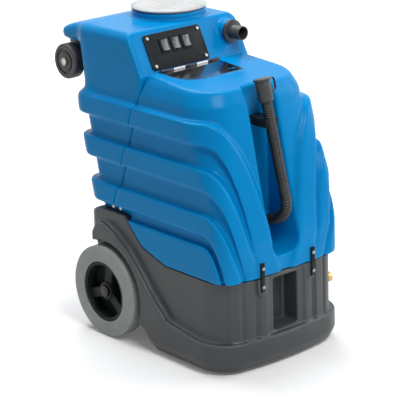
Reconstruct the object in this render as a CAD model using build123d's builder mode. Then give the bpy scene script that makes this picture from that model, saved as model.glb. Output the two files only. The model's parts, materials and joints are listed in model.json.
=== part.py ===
"""Portable box carpet extractor: two moulded tanks on a wheeled base, with its pump and vacuum motors.

Frame: millimetres, +Z up, front of the machine towards -Y, origin under the middle on the floor.
"""
import os
from math import cos, radians, sin, sqrt

from build123d import *

os.makedirs("parts", exist_ok=True)

# Overall sizes
WALL = 6.0
FRONT_Y = -360.0
BODY_HALF = 187.0
BAND_PROUD = 18.0
BAND_HALF = BODY_HALF + BAND_PROUD
FRONT_BOW = 25.0
TANK_BOW = 10.0
FRONT_CORNER = 80.0
REAR_CORNER = 40.0
SEAM_GAP = 0.6
SEAT_GAP = 0.3
RUN_FIT = 0.05
FAR = 600.0

# Base housing
LIP_HALF = 225.0
LIP_PROUD = 15.0
LIP_BOTTOM = 8.0
LIP_TOP = 88.0
LIP_ROUND = 14.0
FENDER_TALL = 52.0
BASE_FRONT = FRONT_Y + LIP_PROUD
BASE_REAR = 217.0
BASE_FRONT_TOP = 250.0
BASE_TOP = 350.0
NOSE_ROUND = 42.0
STEP_FRONT_Y = -106.0
STEP_MID_Y = -9.0
STEP_MID_Z = 280.0
STEP_REAR_Y = 60.0
FLOOR_TOP = 60.0
FLOOR_THICK = 4.0
HEEL_Y = -32.0
RECESS_HALF = 42.0
RECESS_BOTTOM = 95.0
RECESS_TOP = 236.0
RECESS_DEPTH = 55.0
FLUTE_PROUD = 7.0
FLUTE_HALF = 14.0
FLUTE_XS = (78.0, 122.0, 160.0)

# Tanks
TANK_TOP = 840.0
TANK_TOP_FALL = 8.0
SEAM_FOOT_Y = 109.0
SEAM_LEAN = 0.3275
REAR_FOOT_Y = 190.0
REAR_KNEE_Y = 241.0
REAR_KNEE_Z = 590.0
REAR_HEAD_Y = 272.0
REAR_SHOULDER = 14.0
OVERHANG_REAR = 352.0
OVERHANG_HALF = 170.0
OVERHANG_TALL = 62.0
OVERHANG_BOTTOM = TANK_TOP - OVERHANG_TALL
FRONT_KNEE_Y = -343.0
FRONT_KNEE_Z = 343.0
FRONT_TANK_HEAD_Y = -262.0
FRONT_TANK_DROP = 98.0
FRONT_TANK_FALL = 20.0
FRONT_TANK_TOP_REAR = TANK_TOP - FRONT_TANK_DROP
FRONT_TANK_TOP_FRONT = FRONT_TANK_TOP_REAR - FRONT_TANK_FALL
FRONT_LOW_CORNER = 45.0
FRONT_FULL_Z = 470.0
FRONT_MID_CORNER = 85.0
FRONT_MID_Z = FRONT_TANK_TOP_REAR - 152.0
FRONT_HIGH_CORNER = 100.0
SHOULDER_LOW = FRONT_TANK_TOP_REAR - 52.0
SHOULDER_MID = FRONT_TANK_TOP_REAR - 22.0
SHOULDER_IN = 27.0
BAND_DROPS = (182.0, 297.0, 416.0)
BAND_TOPS = tuple(TANK_TOP - drop for drop in BAND_DROPS)
BAND_TALL = 56.0
BAND_OUTER_ENDS = (239.0, 183.0, 145.0)
BAND_INNER_ENDS = (187.0, 152.0, 100.0)
BAND_TURN_START = 40.0
BAND_TURN_POWER = 2.3
BAND_FRONT_PROUD = 14.0
BAND_REAR_PROUD = 28.0
SKIRT_TOP = 340.0
SKIRT_END = 92.0

# Rear wheels
WHEEL_R = 127.0
WHEEL_WIDE = 46.0
WHEEL_OUTER_X = 235.0
RIM_R = 84.0
AXLE_R = 8.0
AXLE_Y = 125.0
WELL_CLEAR = 14.0
WELL_GAP = 9.0

# Loading wheels under the rear overhang
LOAD_R = 48.0
LOAD_WIDE = 34.0
LOAD_OUTER_X = 185.0
LOAD_Y = 312.0
LOAD_GAP = 6.0
LOAD_Z = OVERHANG_BOTTOM - LOAD_R - LOAD_GAP
LOAD_AXLE_R = 6.0

# Control panel, left of the middle on the sloped face
PANEL_LEFT = -140.0
PANEL_WIDE = 192.0
PANEL_HEAD_Y = 41.0
PANEL_FOOT_Y = -13.0
PANEL_FOOT_SINK = 7.0
PANEL_FOOT_Z = FRONT_TANK_TOP_REAR - PANEL_FOOT_SINK
PANEL_THICK = 4.0
PANEL_TALL = 96.0
PANEL_UP = 56.0
PANEL_POCKET = 15.0
SWITCH_WIDE = 26.0
SWITCH_TALL = 38.0
SWITCH_PITCH = 36.0
SWITCH_UP = 68.0
SWITCH_RIM = 2.5
SWITCH_DEPTH = 12.0
SWITCH_PROUD = 3.0
ROCKER_PIN_R = 1.5

# Recovery lid
LID_X = 50.0
LID_Y = 150.0
LID_R = 100.0
COLLAR_SEAT = 13.0
MOUTH_R = LID_R - COLLAR_SEAT
COLLAR_TALL = 20.0
GASKET_TALL = 3.0

# Fill lid and its hinge
FILL_LEFT = -135.0
FILL_RIGHT = 60.0
FILL_LONG = 98.0
FILL_THICK = 2.0
FILL_CORNER = 70.0
HINGE_Y = -36.0
HINGE_PIN_R = 2.0
HINGE_KNUCKLE_R = 4.0
FILL_MOUTH_MARGIN = 22.0

# Vacuum inlet barb
INLET_X = 140.0
INLET_UP = 65.0
INLET_Z = PANEL_FOOT_Z + INLET_UP
INLET_R = 19.0
INLET_BORE = 16.0
INLET_FLANGE_R = 31.0
INLET_TIP_Y = -45.0
INLET_BOSS_PROUD = 2.0

# Drain hose in the front channel
CHANNEL_HALF = 46.0
CHANNEL_FLOOR_Y = -232.0
CHANNEL_BOTTOM = 292.0
CHANNEL_ROUND = 38.0
HOSE_OUT = 14.0
HOSE_SWAY = 12.0
HOSE_R = 15.0
HOSE_VALLEY_R = 13.2
HOSE_BORE_R = 10.0
HOSE_PITCH = 6.4
HOSE_TOP_SINK = 22.0
HOSE_TOP_Z = FRONT_TANK_TOP_FRONT - HOSE_TOP_SINK
HOSE_BEND_R = 60.0
HOSE_BEND_DEG = 90.0
HOSE_LOW_Z = 440.0
CUFF_R = 20.0
CUFF_TALL = 52.0
PLUG_R = 23.0
PLUG_TALL = 6.0

# Solution coupler, low on the right front corner
COUPLER_Y = -272.0
COUPLER_Z = 152.0
COUPLER_R = 10.0
COUPLER_BORE = 5.5

# Casters
CASTER_X = 130.0
CASTER_Y = -200.0
CASTER_R = 22.0
CASTER_WIDE = 24.0
CASTER_TRAIL = 15.0
CASTER_STEM_R = 5.0
CASTER_PIN_R = 3.0

# Vacuum motors and pump
MOTOR_X = 85.0
MOTOR_Y = -20.0
MOTOR_R = 68.0
MOTOR_TALL = 130.0
SHAFT_R = 6.0
PUMP_X = -85.0
PUMP_Y = -180.0
PUMP_WIDE = 70.0
PUMP_LONG = 100.0
PUMP_TALL = 72.0
HEATER_X = 85.0
HEATER_WIDE = 90.0
HEATER_TALL = 62.0

# Standpipe and float
PIPE_R = 25.0
PIPE_BORE = 21.0
PIPE_Y = 158.0
PIPE_SINK = 150.0
PIPE_TOP = TANK_TOP - PIPE_SINK
CAGE_R = 34.0
CAGE_TALL = 96.0
BALL_R = 24.0

# Fasteners
SCREW_R = 4.5
SCREW_HEAD = 3.0
STRAP_X = 88.0
STRAP_WIDE = 13.0
STRAP_THICK = 4.0
STRAP_BOTTOM = 214.0
STRAP_TOP = 292.0
STRAP_SEAT_Y = BASE_FRONT - FLUTE_PROUD


def seam_y(z):
    """Depth of the slanted seam between the two tanks at height z."""
    return SEAM_FOOT_Y - SEAM_LEAN * (z - BASE_TOP)


def front_y(z):
    """Depth of the front tank's front at height z, upright below its knee and leaning above."""
    lean = (FRONT_TANK_HEAD_Y - FRONT_KNEE_Y) / (FRONT_TANK_TOP_FRONT - FRONT_KNEE_Z)
    return FRONT_KNEE_Y + lean * max(z - FRONT_KNEE_Z, 0)


def rear_y(z):
    """Depth of the rear tank's back at height z, leaning less above its knee."""
    if z < REAR_KNEE_Z:
        return REAR_FOOT_Y + (REAR_KNEE_Y - REAR_FOOT_Y) * (z - BASE_TOP) / (REAR_KNEE_Z - BASE_TOP)
    return REAR_KNEE_Y + (REAR_HEAD_Y - REAR_KNEE_Y) * (z - REAR_KNEE_Z) / (TANK_TOP - REAR_KNEE_Z)


def slope_y(z):
    """Depth of the sloped panel face at height z."""
    return PANEL_FOOT_Y + (PANEL_HEAD_Y - PANEL_FOOT_Y) * (z - PANEL_FOOT_Z) / (TANK_TOP - PANEL_FOOT_Z)


def save(piece, name):
    """Label a finished piece and write it."""
    piece.label = name
    export_step(piece, f"parts/{name}.step")


def side_prism(points, half, inset=0.0):
    """Side profile in (y, z), drawn in by inset and extruded to both sides."""
    with BuildPart() as prism:
        with BuildSketch(Plane.YZ):
            with BuildLine():
                Polyline(*points, close=True)
            make_face()
            if inset:
                offset(amount=-inset, kind=Kind.INTERSECTION)
        extrude(amount=half, both=True)
    return prism.part


def plan_outline(height, half, front, rear, front_radius, rear_radius, bow=FRONT_BOW):
    """Plan outline at a height, with a bowed front and rounded corners."""
    edge = front + bow
    with BuildSketch(Plane.XY.offset(height)) as outline:
        with BuildLine():
            ThreePointArc((-half, edge), (0, front), (half, edge))
            Polyline((half, edge), (half, rear), (-half, rear), (-half, edge))
        make_face()
        fillet(outline.vertices().group_by(Axis.Y)[0], front_radius)
        fillet(outline.vertices().group_by(Axis.Y)[-1], rear_radius)
    return outline.sketch


def stack(outlines):
    """Form through plan outlines, straight from each one to the next above it."""
    with BuildPart() as form:
        loft(outlines, ruled=True)
    return form.part


def plan_form(low, high, half, front, rear, front_radius, rear_radius):
    """Upright form on one plan outline, from a low height to a high one."""
    return stack(
        [plan_outline(height, half, front, rear, front_radius, rear_radius) for height in (low, high)]
    )


def block(x_span, y_span, z_span):
    """Plain block between pairs of coordinates."""
    with BuildPart() as piece:
        with BuildSketch(Plane.XY.offset(z_span[0])):
            with Locations(((x_span[0] + x_span[1]) / 2, (y_span[0] + y_span[1]) / 2)):
                Rectangle(x_span[1] - x_span[0], y_span[1] - y_span[0])
        extrude(amount=z_span[1] - z_span[0])
    return piece.part


def rod(start, direction, radius, length):
    """Round bar from a point along a direction."""
    with BuildPart() as piece:
        with BuildSketch(Plane(origin=start, z_dir=direction)):
            Circle(radius)
        extrude(amount=length)
    return piece.part


def tube(start, direction, outer, inner, length):
    """Round tube from a point along a direction."""
    with BuildPart() as piece:
        with BuildSketch(Plane(origin=start, z_dir=direction)):
            Circle(outer)
            Circle(inner, mode=Mode.SUBTRACT)
        extrude(amount=length)
    return piece.part


# Base housing: open-bottom moulding with wheel wells, flared lip, front recess and flutes
WHEEL_Z = WHEEL_R
WELL_R = WHEEL_R + WELL_CLEAR
WELL_X = WHEEL_OUTER_X - WHEEL_WIDE - WELL_GAP
base_top_line = (
    (FRONT_Y - FAR, BASE_FRONT_TOP),
    (STEP_FRONT_Y, BASE_FRONT_TOP),
    (STEP_MID_Y, STEP_MID_Z),
    (STEP_REAR_Y, BASE_TOP),
    (BASE_REAR - NOSE_ROUND, BASE_TOP),
    (BASE_REAR - NOSE_ROUND / 3, BASE_TOP - NOSE_ROUND / 3),
    (BASE_REAR + NOSE_ROUND / 12, BASE_TOP - NOSE_ROUND * 1.2),
    (FAR, BASE_TOP - NOSE_ROUND * 1.2),
)
base_profile = base_top_line + (
    (FAR, FLOOR_TOP),
    (HEEL_Y, FLOOR_TOP),
    (HEEL_Y - 40, LIP_BOTTOM),
    (FRONT_Y - FAR, LIP_BOTTOM),
)
base_core = plan_form(
    LIP_BOTTOM, BASE_TOP, BAND_HALF, BASE_FRONT, BASE_REAR, FRONT_CORNER, REAR_CORNER
)
base_hollow = plan_form(
    -FLOOR_TOP,
    BASE_TOP,
    BAND_HALF - WALL,
    BASE_FRONT + WALL,
    BASE_REAR - WALL,
    FRONT_CORNER - WALL,
    REAR_CORNER - WALL,
)
base_flute_form = plan_form(
    LIP_BOTTOM, BASE_TOP, BAND_HALF, BASE_FRONT - FLUTE_PROUD, BASE_REAR, FRONT_CORNER, REAR_CORNER
)
lip_outlines = []
for lip_z, drawn_in in ((LIP_BOTTOM, LIP_ROUND), (LIP_BOTTOM + 2 * LIP_ROUND, 0), (BASE_TOP, 0)):
    lip_outlines.append(
        plan_outline(
            lip_z,
            LIP_HALF - drawn_in,
            FRONT_Y + drawn_in,
            BASE_REAR,
            FRONT_CORNER + LIP_PROUD - drawn_in,
            REAR_CORNER,
        )
    )
lip_form = stack(lip_outlines)
ARCH_TOP = WHEEL_Z + WELL_R
lip_side = side_prism(
    (
        (FRONT_Y - FAR, LIP_BOTTOM),
        (FRONT_Y - FAR, LIP_TOP),
        (AXLE_Y - 365, LIP_TOP),
        (AXLE_Y - 247, LIP_TOP + 18),
        (AXLE_Y - 180, WHEEL_Z + 42),
        (AXLE_Y - 135, WHEEL_Z + 95),
        (AXLE_Y - 90, ARCH_TOP - 2),
        (AXLE_Y - 40, ARCH_TOP + FENDER_TALL * 0.6),
        (AXLE_Y + 10, ARCH_TOP + FENDER_TALL),
        (AXLE_Y + 36, ARCH_TOP + FENDER_TALL * 0.85),
        (AXLE_Y + 54, ARCH_TOP + FENDER_TALL * 0.3),
        (AXLE_Y + 54, WHEEL_Z),
        (HEEL_Y, FLOOR_TOP),
        (HEEL_Y - 40, LIP_BOTTOM),
    ),
    FAR,
)
base_side = side_prism(base_profile, FAR)
base_hollow_side = side_prism(
    base_top_line + ((FAR, -FLOOR_TOP), (FRONT_Y - FAR, -FLOOR_TOP)), FAR, WALL
)
recess = block(
    (-RECESS_HALF, RECESS_HALF),
    (FRONT_Y - FAR, BASE_FRONT + RECESS_DEPTH),
    (RECESS_BOTTOM, RECESS_TOP),
)
recess_wall = block(
    (-RECESS_HALF - WALL, RECESS_HALF + WALL),
    (FRONT_Y - FAR, BASE_FRONT + RECESS_DEPTH + WALL),
    (RECESS_BOTTOM - WALL, RECESS_TOP + WALL),
)
wells = [rod((side * WELL_X, AXLE_Y, WHEEL_Z), (side, 0, 0), WELL_R, FAR) for side in (-1, 1)]
well_walls = [
    rod((side * (WELL_X - WALL), AXLE_Y, WHEEL_Z), (side, 0, 0), WELL_R + WALL, FAR) for side in (-1, 1)
]
flute_slabs = []
for flute_x in FLUTE_XS:
    for side in (-1, 1):
        flute_slabs.append(
            block(
                (side * flute_x - FLUTE_HALF, side * flute_x + FLUTE_HALF),
                (FRONT_Y - FAR, BASE_FRONT + FRONT_CORNER),
                (LIP_BOTTOM + 2 * LIP_ROUND, BASE_FRONT_TOP),
            )
        )
strap_pads = [
    block(
        (side * STRAP_X - STRAP_WIDE / 2 - 4, side * STRAP_X + STRAP_WIDE / 2 + 4),
        (STRAP_SEAT_Y, BASE_FRONT + 40),
        (STRAP_BOTTOM - 8, BASE_FRONT_TOP),
    )
    for side in (-1, 1)
]

with BuildPart() as base_flutes:
    add(flute_slabs)
    add(base_flute_form, mode=Mode.INTERSECT)

with BuildPart() as base_lip:
    add(lip_form)
    add(lip_side, mode=Mode.INTERSECT)

with BuildPart() as base_void:
    add(base_hollow)
    add(base_hollow_side, mode=Mode.INTERSECT)
    add(well_walls, mode=Mode.SUBTRACT)
    add(recess_wall, mode=Mode.SUBTRACT)

with BuildPart() as base_housing:
    add(base_core)
    add(base_side, mode=Mode.INTERSECT)
    add(base_flutes.part)
    add(base_lip.part)
    add(strap_pads)
    add(base_void.part, mode=Mode.SUBTRACT)
    add(wells, mode=Mode.SUBTRACT)
    add(recess, mode=Mode.SUBTRACT)
    add(rod((-FAR / 2, AXLE_Y, WHEEL_Z), (1, 0, 0), AXLE_R + SEAT_GAP, FAR), mode=Mode.SUBTRACT)
    add(rod((0, COUPLER_Y, COUPLER_Z), (1, 0, 0), COUPLER_R + SEAT_GAP, FAR), mode=Mode.SUBTRACT)
    add(rod((0, PIPE_Y, BASE_TOP - 2 * WALL), (0, 0, 1), PIPE_BORE, 3 * WALL), mode=Mode.SUBTRACT)
save(base_housing.part, "base_housing")

# Chassis plate closing the bottom and carrying motors, pump and casters
PLATE_HALF = WELL_X - 1
PLATE_FRONT = -250.0
with BuildPart() as chassis_plate:
    with BuildSketch(Plane.XY.offset(FLOOR_TOP - FLOOR_THICK)):
        with Locations((0, (PLATE_FRONT + BASE_REAR) / 2)):
            RectangleRounded(2 * PLATE_HALF, BASE_REAR - PLATE_FRONT, 12)
        with Locations((CASTER_X, CASTER_Y), (-CASTER_X, CASTER_Y)):
            Circle(CASTER_STEM_R + 2, mode=Mode.SUBTRACT)
    extrude(amount=FLOOR_THICK)
save(chassis_plate.part, "chassis_plate")

# Rear recovery tank: leaning box with three bands, sloped panel face, collar and overhang
rear_profile = (
    (SEAM_FOOT_Y, BASE_TOP),
    (FAR, BASE_TOP),
    (FAR, TANK_TOP - TANK_TOP_FALL),
    (LID_Y + LID_R + 40, TANK_TOP - TANK_TOP_FALL),
    (LID_Y + LID_R + 5, TANK_TOP),
    (PANEL_HEAD_Y, TANK_TOP),
    (PANEL_FOOT_Y, PANEL_FOOT_Z),
    (seam_y(PANEL_FOOT_Z), PANEL_FOOT_Z),
)
overhang_profile = (
    (LID_Y + LID_R - 50, TANK_TOP - TANK_TOP_FALL),
    (LID_Y + LID_R + 40, TANK_TOP - TANK_TOP_FALL),
    (OVERHANG_REAR - 6, TANK_TOP - 25),
    (OVERHANG_REAR, TANK_TOP - 40),
    (OVERHANG_REAR - 8, OVERHANG_BOTTOM),
    (REAR_HEAD_Y - 42, OVERHANG_BOTTOM),
)
REAR_PLAN_FRONT = -200.0


def rear_form(grow, rear_grow):
    """Rear tank's leaning form, wider by grow and deeper by rear_grow, with drawn-in top edges."""
    outlines = []
    for height in (BASE_TOP, REAR_KNEE_Z, TANK_TOP - REAR_SHOULDER, TANK_TOP):
        half = BODY_HALF + grow
        if height == TANK_TOP:
            half -= REAR_SHOULDER
        rear = rear_y(height) + rear_grow
        outlines.append(
            plan_outline(height, half, REAR_PLAN_FRONT, rear, REAR_CORNER, REAR_CORNER + grow)
        )
    return stack(outlines)


rear_side = side_prism(rear_profile, FAR)
rear_hollow_side = side_prism(rear_profile, FAR, WALL)
rear_core = rear_form(0, 0)
rear_band_form = rear_form(BAND_PROUD, BAND_REAR_PROUD)
rear_hollow = rear_form(-WALL, -WALL)
band_slabs = [block((-FAR, FAR), (-FAR, FAR), (top - BAND_TALL, top)) for top in BAND_TOPS]
overhang = side_prism(overhang_profile, OVERHANG_HALF)
INLET_BOSS_Y = slope_y(INLET_Z - INLET_FLANGE_R) - INLET_BOSS_PROUD
inlet_boss = rod((INLET_X, INLET_BOSS_Y, INLET_Z), (0, 1, 0), INLET_FLANGE_R, 110)
inlet_hole = rod((INLET_X, INLET_BOSS_Y - 1, INLET_Z), (0, 1, 0), INLET_BORE, 160)

SLOPE_LONG = sqrt((PANEL_HEAD_Y - PANEL_FOOT_Y) ** 2 + (TANK_TOP - PANEL_FOOT_Z) ** 2)
SLOPE_UP = (0, (PANEL_HEAD_Y - PANEL_FOOT_Y) / SLOPE_LONG, (TANK_TOP - PANEL_FOOT_Z) / SLOPE_LONG)
PANEL_PLANE = Plane(
    origin=(PANEL_LEFT + PANEL_WIDE / 2, PANEL_FOOT_Y, PANEL_FOOT_Z),
    x_dir=(1, 0, 0),
    z_dir=(0, -SLOPE_UP[2], SLOPE_UP[1]),
)
POCKET_WIDE = 2 * SWITCH_PITCH + SWITCH_WIDE + 16
POCKET_TALL = SWITCH_TALL + 8


def panel_block(wide, tall, low, high, across=0.0, up=PANEL_UP):
    """Block on the sloped panel face, from low to high above it."""
    with BuildPart() as piece:
        with BuildSketch(PANEL_PLANE.offset(low)):
            with Locations((across, up)):
                Rectangle(wide, tall)
        extrude(amount=high - low)
    return piece.part


pocket = panel_block(POCKET_WIDE, POCKET_TALL, -PANEL_POCKET, 1, 0, SWITCH_UP)
pocket_wall = panel_block(
    POCKET_WIDE + 2 * WALL, POCKET_TALL + 2 * WALL, -PANEL_POCKET - WALL, 1, 0, SWITCH_UP
)

with BuildPart() as rear_bands:
    add(band_slabs)
    add(rear_band_form, mode=Mode.INTERSECT)

with BuildPart() as rear_void:
    add(rear_hollow)
    add(rear_hollow_side, mode=Mode.INTERSECT)
    add(pocket_wall, mode=Mode.SUBTRACT)

with BuildPart() as rear_tank:
    add(rear_core)
    add(rear_bands.part)
    add(rear_side, mode=Mode.INTERSECT)
    add(overhang)
    add(inlet_boss)
    with BuildSketch(Plane.XY.offset(TANK_TOP)):
        with Locations((LID_X, LID_Y)):
            Circle(LID_R)
    extrude(amount=COLLAR_TALL)
    add(rear_void.part, mode=Mode.SUBTRACT)
    add(inlet_hole, mode=Mode.SUBTRACT)
    add(pocket, mode=Mode.SUBTRACT)
    with BuildSketch(Plane.XY.offset(TANK_TOP + COLLAR_TALL)):
        with Locations((LID_X, LID_Y)):
            Circle(MOUTH_R)
    extrude(amount=-COLLAR_TALL - 2 * WALL, mode=Mode.SUBTRACT)
    add(rod((0, PIPE_Y, BASE_TOP - 1), (0, 0, 1), PIPE_R + SEAT_GAP, 2 * WALL), mode=Mode.SUBTRACT)
save(rear_tank.part, "rear_tank")

# Front solution tank: leaning form whose bands sweep from the sides down the front
front_profile = (
    (seam_y(BASE_TOP) - SEAM_GAP, BASE_TOP),
    (STEP_REAR_Y, BASE_TOP),
    (STEP_MID_Y, STEP_MID_Z),
    (STEP_FRONT_Y, BASE_FRONT_TOP),
    (FRONT_Y - FAR, BASE_FRONT_TOP),
    (FRONT_Y - FAR, FRONT_TANK_TOP_FRONT),
    (FRONT_TANK_HEAD_Y, FRONT_TANK_TOP_FRONT),
    (seam_y(FRONT_TANK_TOP_REAR) - SEAM_GAP, FRONT_TANK_TOP_REAR),
)


def front_form(grow, front_grow):
    """Front tank's form, wider by grow and longer by front_grow, rounder and drawn in towards its top."""
    levels = (
        (BASE_FRONT_TOP, FRONT_LOW_CORNER, 0),
        (FRONT_KNEE_Z, FRONT_LOW_CORNER, 0),
        (FRONT_FULL_Z, FRONT_LOW_CORNER, 0),
        (FRONT_MID_Z, FRONT_MID_CORNER, 0),
        (SHOULDER_LOW, FRONT_HIGH_CORNER, 0),
        (SHOULDER_MID, FRONT_HIGH_CORNER, SHOULDER_IN * 0.4),
        (FRONT_TANK_TOP_REAR, FRONT_HIGH_CORNER, SHOULDER_IN),
    )
    outlines = []
    for height, corner, drawn_in in levels:
        front = max(front_y(height) - front_grow, STRAP_SEAT_Y + SEAT_GAP) + drawn_in
        half = BODY_HALF + grow - drawn_in
        outlines.append(plan_outline(height, half, front, BASE_REAR, corner, REAR_CORNER, TANK_BOW))
    return stack(outlines)


DIAGONAL = Plane(origin=(0, 0, 0), x_dir=(1, -1, 0), z_dir=(-1, -1, 0))
BAND_FOOT = BASE_FRONT_TOP - 20
BAND_TURN_STEPS = 10


def sweep_points(level, end):
    """Edge of a band seen along the diagonal: it leaves its level and steepens down to the base."""
    points = []
    for step in range(BAND_TURN_STEPS + 1):
        share = step / BAND_TURN_STEPS
        drop = (level - BAND_FOOT) * share**BAND_TURN_POWER
        points.append((BAND_TURN_START + (end - BAND_TURN_START) * share, level - drop))
    return points


def band_strip(upper, lower):
    """Band between two edges seen along the diagonal, level along the side."""
    with BuildPart() as strip:
        with BuildSketch(DIAGONAL):
            with BuildLine():
                Polyline(*upper, *reversed(lower), (-FAR, lower[0][1]), (-FAR, upper[0][1]), close=True)
            make_face()
        extrude(amount=FAR, both=True)
    return strip.part


front_side = side_prism(front_profile, FAR)
front_hollow_side = side_prism(front_profile, FAR, WALL)
front_core = front_form(0, 0)
front_band_form = front_form(BAND_PROUD, BAND_FRONT_PROUD)
front_hollow = front_form(-WALL, -WALL)
left_half = block((-FAR, 0), (-FAR, FAR), (0, TANK_TOP))
strips = [band_strip(sweep_points(SKIRT_TOP, SKIRT_END), [(BAND_TURN_START, BAND_FOOT)])]
for band_top, outer_end, inner_end in zip(BAND_TOPS, BAND_OUTER_ENDS, BAND_INNER_ENDS):
    band_low = band_top - BAND_TALL
    strips.append(band_strip(sweep_points(band_top, outer_end), sweep_points(band_low, inner_end)))
TOP_SLOPE = (FRONT_TANK_TOP_REAR - FRONT_TANK_TOP_FRONT) / (
    seam_y(FRONT_TANK_TOP_REAR) - SEAM_GAP - FRONT_TANK_HEAD_Y
)


def top_z(y):
    """Height of the front tank's sloped top at depth y."""
    return FRONT_TANK_TOP_FRONT + TOP_SLOPE * (y - FRONT_TANK_HEAD_Y)


channel_profile = (
    (front_y(TANK_TOP) - FAR, TANK_TOP),
    (CHANNEL_FLOOR_Y, TANK_TOP),
    (CHANNEL_FLOOR_Y, CHANNEL_BOTTOM + 28),
    (CHANNEL_FLOOR_Y - 20, CHANNEL_BOTTOM + 8),
    (front_y(CHANNEL_BOTTOM), CHANNEL_BOTTOM),
    (front_y(TANK_TOP) - FAR, CHANNEL_BOTTOM),
)
with BuildPart() as channel:
    add(side_prism(channel_profile, CHANNEL_HALF))
    with BuildSketch(Plane.XZ) as channel_front:
        with Locations((0, (CHANNEL_BOTTOM + TANK_TOP) / 2)):
            Rectangle(2 * CHANNEL_HALF, TANK_TOP - CHANNEL_BOTTOM)
        fillet(channel_front.vertices().group_by(Axis.Z)[0], CHANNEL_ROUND)
    extrude(amount=FAR, both=True, mode=Mode.INTERSECT)
channel_wall = block(
    (-CHANNEL_HALF - WALL, CHANNEL_HALF + WALL),
    (-FAR, CHANNEL_FLOOR_Y + WALL),
    (CHANNEL_BOTTOM - WALL, TANK_TOP),
)
tank_strap_pads = [
    block(
        (side * STRAP_X - STRAP_WIDE / 2 - 4, side * STRAP_X + STRAP_WIDE / 2 + 4),
        (STRAP_SEAT_Y, FRONT_KNEE_Y + 30),
        (BASE_FRONT_TOP, STRAP_TOP + 8),
    )
    for side in (-1, 1)
]
fill_mouth = block(
    (FILL_LEFT + FILL_MOUTH_MARGIN, FILL_RIGHT - FILL_MOUTH_MARGIN),
    (HINGE_Y - FILL_LONG + FILL_MOUTH_MARGIN, HINGE_Y - FILL_MOUTH_MARGIN),
    (FRONT_TANK_TOP_FRONT - 2 * WALL, TANK_TOP),
)

with BuildPart() as left_bands:
    add(strips)
    add(front_band_form, mode=Mode.INTERSECT)
    add(left_half, mode=Mode.INTERSECT)

with BuildPart() as front_void:
    add(front_hollow)
    add(front_hollow_side, mode=Mode.INTERSECT)
    add(channel_wall, mode=Mode.SUBTRACT)

with BuildPart() as front_tank:
    add(left_bands.part)
    mirror(about=Plane.YZ)
    add(front_core)
    add(front_side, mode=Mode.INTERSECT)
    add(tank_strap_pads)
    add(front_void.part, mode=Mode.SUBTRACT)
    add(channel.part, mode=Mode.SUBTRACT)
    add(fill_mouth, mode=Mode.SUBTRACT)
save(front_tank.part, "front_tank")


# Recovery lid with its gasket
LID_SEAT = TANK_TOP + COLLAR_TALL + GASKET_TALL
LID_THICK = 7.0
LID_SKIRT = 8.0
LID_AXIS = Axis((LID_X, LID_Y, 0), (0, 0, 1))
LID_SECTION = Plane(origin=(LID_X, LID_Y, 0), x_dir=(1, 0, 0), z_dir=(0, -1, 0))
lid_gasket = tube((LID_X, LID_Y, LID_SEAT - GASKET_TALL), (0, 0, 1), LID_R - 1, MOUTH_R + 1, GASKET_TALL)
save(lid_gasket, "lid_gasket")

with BuildPart() as recovery_lid:
    with BuildSketch(LID_SECTION):
        with BuildLine():
            Polyline((0, LID_SEAT), (LID_R + 2, LID_SEAT), (LID_R + 2, LID_SEAT + LID_THICK - 4))
            Line((LID_R + 2, LID_SEAT + LID_THICK - 4), (LID_R - 4, LID_SEAT + LID_THICK))
            Polyline((LID_R - 4, LID_SEAT + LID_THICK), (LID_R - 40, LID_SEAT + LID_THICK + 3))
            Polyline((LID_R - 40, LID_SEAT + LID_THICK + 3), (0, LID_SEAT + LID_THICK + 3), (0, LID_SEAT))
        make_face()
        with Locations((MOUTH_R - 4, LID_SEAT - LID_SKIRT / 2)):
            Rectangle(4, LID_SKIRT)
    revolve(axis=LID_AXIS)
save(recovery_lid.part, "recovery_lid")

# Control panel with three rocker switches
with BuildPart() as control_panel:
    with BuildSketch(PANEL_PLANE):
        with Locations((0, PANEL_UP)):
            RectangleRounded(PANEL_WIDE, PANEL_TALL, 9)
        with Locations((0, SWITCH_UP)):
            with GridLocations(SWITCH_PITCH, 1, 3, 1):
                Rectangle(SWITCH_WIDE + 2 * SEAT_GAP, SWITCH_TALL + 2 * SEAT_GAP, mode=Mode.SUBTRACT)
    extrude(amount=PANEL_THICK)
save(control_panel.part, "control_panel")

with BuildPart() as panel_screws:
    with BuildSketch(PANEL_PLANE.offset(PANEL_THICK)):
        with Locations((0, PANEL_UP)):
            with GridLocations(PANEL_WIDE - 22, PANEL_TALL - 20, 2, 2):
                Circle(SCREW_R)
    extrude(amount=SCREW_HEAD)
save(panel_screws.part, "panel_screws")

BEZEL_TOP = PANEL_THICK + SWITCH_PROUD
ROCKER_PIVOT = PANEL_THICK - 2
with BuildPart() as switch_bezels:
    with BuildSketch(PANEL_PLANE.offset(PANEL_THICK)):
        with Locations((0, SWITCH_UP)):
            with GridLocations(SWITCH_PITCH, 1, 3, 1):
                Rectangle(SWITCH_WIDE + 4, SWITCH_TALL + 4)
    extrude(amount=SWITCH_PROUD)
    with BuildSketch(PANEL_PLANE.offset(PANEL_THICK - SWITCH_DEPTH)):
        with Locations((0, SWITCH_UP)):
            with GridLocations(SWITCH_PITCH, 1, 3, 1):
                Rectangle(SWITCH_WIDE, SWITCH_TALL)
    extrude(amount=SWITCH_DEPTH)
    with BuildSketch(PANEL_PLANE.offset(PANEL_THICK - SWITCH_DEPTH + 2)):
        with Locations((0, SWITCH_UP)):
            with GridLocations(SWITCH_PITCH, 1, 3, 1):
                Rectangle(SWITCH_WIDE - 2 * SWITCH_RIM, SWITCH_TALL - 2 * SWITCH_RIM)
    extrude(amount=SWITCH_DEPTH + SWITCH_PROUD, mode=Mode.SUBTRACT)
    pivot_start = PANEL_PLANE.from_local_coords((-FAR, SWITCH_UP, ROCKER_PIVOT))
    with BuildSketch(Plane(origin=pivot_start, x_dir=(0, 1, 0), z_dir=(1, 0, 0))):
        Circle(ROCKER_PIN_R + RUN_FIT)
    extrude(amount=2 * FAR, mode=Mode.SUBTRACT)
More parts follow.
